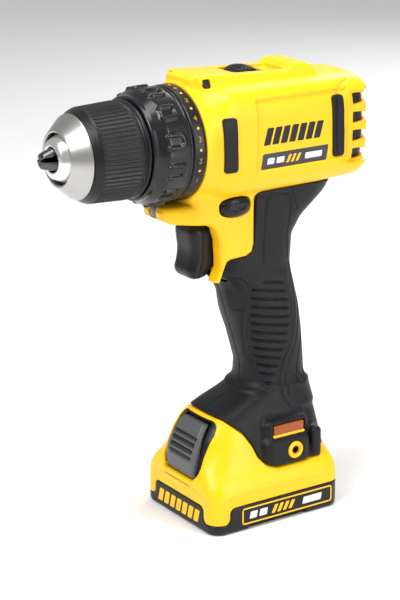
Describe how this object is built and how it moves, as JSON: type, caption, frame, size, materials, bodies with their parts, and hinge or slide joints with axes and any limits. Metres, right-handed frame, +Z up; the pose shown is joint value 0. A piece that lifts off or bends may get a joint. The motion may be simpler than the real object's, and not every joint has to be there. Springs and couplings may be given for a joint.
{
  "type": "cordless drill",
  "caption": "Compact pistol-grip cordless drill driver: keyless chuck, clutch ring, two-speed planetary gearbox, motor, trigger and lift-off battery foot.",
  "frame": {"origin": "bottom centre of the bounding box, on the flat base of the battery", "axes": "+Z up the handle, -Y the way the chuck points, +X the tool's left side"},
  "size_m": [0.058, 0.1606, 0.2086],
  "materials": {
    "yellow_nylon": "satin moulded nylon",
    "black_rubber": "soft matt overmould",
    "black_nylon": "satin moulded nylon",
    "grey_nylon": "satin moulded nylon",
    "steel": "machined",
    "dark_steel": "phosphated",
    "cast_alloy": "as cast",
    "copper": "machined",
    "brass": "machined",
    "amber_lens": "polished, see-through",
    "clear_lens": "polished, see-through",
    "cell_wrap": "shrink-wrapped cell"
  },
  "bodies": {
    "frame": {"housing_left": "yellow_nylon", "housing_right": "yellow_nylon", "grip_left": "black_rubber", "grip_right": "black_rubber", "housing_screw_1": "dark_steel", "housing_screw_2": "dark_steel", "housing_screw_3": "dark_steel", "housing_screw_4": "dark_steel", "gear_case": "cast_alloy", "gear_case_cover": "black_nylon", "fixed_ring_gear": "steel", "front_bearing": "steel", "torque_scale": "black_nylon", "clutch_spring": "steel", "motor_can": "steel", "magnet_ring": "dark_steel", "motor_end_bell": "black_nylon", "brush_left": "dark_steel", "brush_right": "dark_steel", "switch_body": "black_nylon", "trigger_spring": "steel", "led_lens": "clear_lens", "gauge_lens": "amber_lens", "terminal_block": "black_nylon", "hook_insert_left": "brass", "hook_insert_right": "brass"},
    "output": {"spindle": "steel", "output_carrier": "steel", "chuck_body": "steel", "chuck_screw": "dark_steel", "nose_cap": "steel"},
    "sleeve": {"chuck_sleeve": "black_nylon", "jaw_nut": "steel"},
    "jaw_1": {"jaw_1": "dark_steel"},
    "jaw_2": {"jaw_2": "dark_steel"},
    "jaw_3": {"jaw_3": "dark_steel"},
    "clutch": {"clutch_collar": "black_nylon"},
    "rotor": {"rotor_shaft": "steel", "motor_pinion": "steel", "armature": "dark_steel", "commutator": "copper", "cooling_fan": "grey_nylon"},
    "middle": {"middle_carrier": "steel"},
    "planet_1a": {"planet_1a": "steel"},
    "planet_1b": {"planet_1b": "steel"},
    "planet_1c": {"planet_1c": "steel"},
    "planet_2a": {"planet_2a": "steel"},
    "planet_2b": {"planet_2b": "steel"},
    "planet_2c": {"planet_2c": "steel"},
    "trigger": {"trigger": "black_nylon"},
    "direction": {"direction_bar": "black_nylon"},
    "speed": {"speed_selector": "black_nylon", "shift_fork": "steel", "shift_ring_gear": "steel"},
    "battery": {"battery_shell": "yellow_nylon", "battery_tray": "black_nylon", "cell_1": "cell_wrap", "cell_2": "cell_wrap", "cell_3": "cell_wrap"},
    "release": {"release_button": "grey_nylon"}
  },
  "joints": [
    {"name": "output_spin", "type": "hinge", "parent": "frame", "child": "output", "pos_m": [0, 0, 0.178], "axis": [0, 1, 0], "continuous": true},
    {"name": "middle_spin", "type": "hinge", "parent": "frame", "child": "middle", "pos_m": [0, 0, 0.178], "axis": [0, 1, 0], "continuous": true},
    {"name": "rotor_spin", "type": "hinge", "parent": "frame", "child": "rotor", "pos_m": [0, 0, 0.178], "axis": [0, 1, 0], "continuous": true},
    {"name": "planet_2a_spin", "type": "hinge", "parent": "output", "child": "planet_2a", "pos_m": [0.0108, 0, 0.178], "axis": [0, 1, 0], "continuous": true},
    {"name": "planet_1a_spin", "type": "hinge", "parent": "middle", "child": "planet_1a", "pos_m": [0.0108, 0, 0.178], "axis": [0, 1, 0], "continuous": true},
    {"name": "planet_2b_spin", "type": "hinge", "parent": "output", "child": "planet_2b", "pos_m": [-0.0054, 0, 0.18735], "axis": [0, 1, 0], "continuous": true},
    {"name": "planet_1b_spin", "type": "hinge", "parent": "middle", "child": "planet_1b", "pos_m": [-0.0054, 0, 0.18735], "axis": [0, 1, 0], "continuous": true},
    {"name": "planet_2c_spin", "type": "hinge", "parent": "output", "child": "planet_2c", "pos_m": [-0.0054, 0, 0.16865], "axis": [0, 1, 0], "continuous": true},
    {"name": "planet_1c_spin", "type": "hinge", "parent": "middle", "child": "planet_1c", "pos_m": [-0.0054, 0, 0.16865], "axis": [0, 1, 0], "continuous": true},
    {"name": "jaw_1_slide", "type": "slide", "parent": "output", "child": "jaw_1", "axis": [0, 0.9397, 0.342], "range_m": [0, 0.0125]},
    {"name": "jaw_2_slide", "type": "slide", "parent": "output", "child": "jaw_2", "axis": [-0.2962, 0.9397, -0.171], "range_m": [0, 0.0125]},
    {"name": "jaw_3_slide", "type": "slide", "parent": "output", "child": "jaw_3", "axis": [0.2962, 0.9397, -0.171], "range_m": [0, 0.0125]},
    {"name": "sleeve_turn", "type": "hinge", "parent": "output", "child": "sleeve", "pos_m": [0, 0, 0.178], "axis": [0, 1, 0], "range_deg": [0, 3002]},
    {"name": "clutch_turn", "type": "hinge", "parent": "frame", "child": "clutch", "pos_m": [0, 0, 0.178], "axis": [0, 1, 0], "range_deg": [0, 300]},
    {"name": "trigger_press", "type": "slide", "parent": "frame", "child": "trigger", "axis": [0, 1, 0], "range_m": [0, 0.0065], "stiffness_N_per_m": 600, "springref_m": -0.004, "deforming": ["trigger_spring"]},
    {"name": "direction_push", "type": "slide", "parent": "frame", "child": "direction", "axis": [1, 0, 0], "range_m": [-0.0035, 0.0035]},
    {"name": "speed_shift", "type": "slide", "parent": "frame", "child": "speed", "axis": [0, 1, 0], "range_m": [0, 0.004]},
    {"name": "battery_slide", "type": "slide", "parent": "frame", "child": "battery", "axis": [0, 0, -1], "range_m": [0, 0.04]},
    {"name": "release_press", "type": "slide", "parent": "battery", "child": "release", "axis": [0, 1, 0], "range_m": [0, 0.002], "stiffness_N_per_m": 900, "springref_m": -0.002}
  ],
  "couplings": [
    {"joint": "middle_spin", "follows": "output_spin", "ratio": 4.5},
    {"joint": "rotor_spin", "follows": "output_spin", "ratio": 20.25},
    {"joint": "planet_2a_spin", "follows": "output_spin", "ratio": -2.8},
    {"joint": "planet_1a_spin", "follows": "output_spin", "ratio": -12.6},
    {"joint": "planet_2b_spin", "follows": "output_spin", "ratio": -2.8},
    {"joint": "planet_1b_spin", "follows": "output_spin", "ratio": -12.6},
    {"joint": "planet_2c_spin", "follows": "output_spin", "ratio": -2.8},
    {"joint": "planet_1c_spin", "follows": "output_spin", "ratio": -12.6},
    {"joint": "jaw_2_slide", "follows": "jaw_1_slide", "ratio": 1},
    {"joint": "jaw_3_slide", "follows": "jaw_1_slide", "ratio": 1},
    {"joint": "sleeve_turn", "follows": "jaw_1_slide", "rad_per_m": 4188.8}
  ]
}
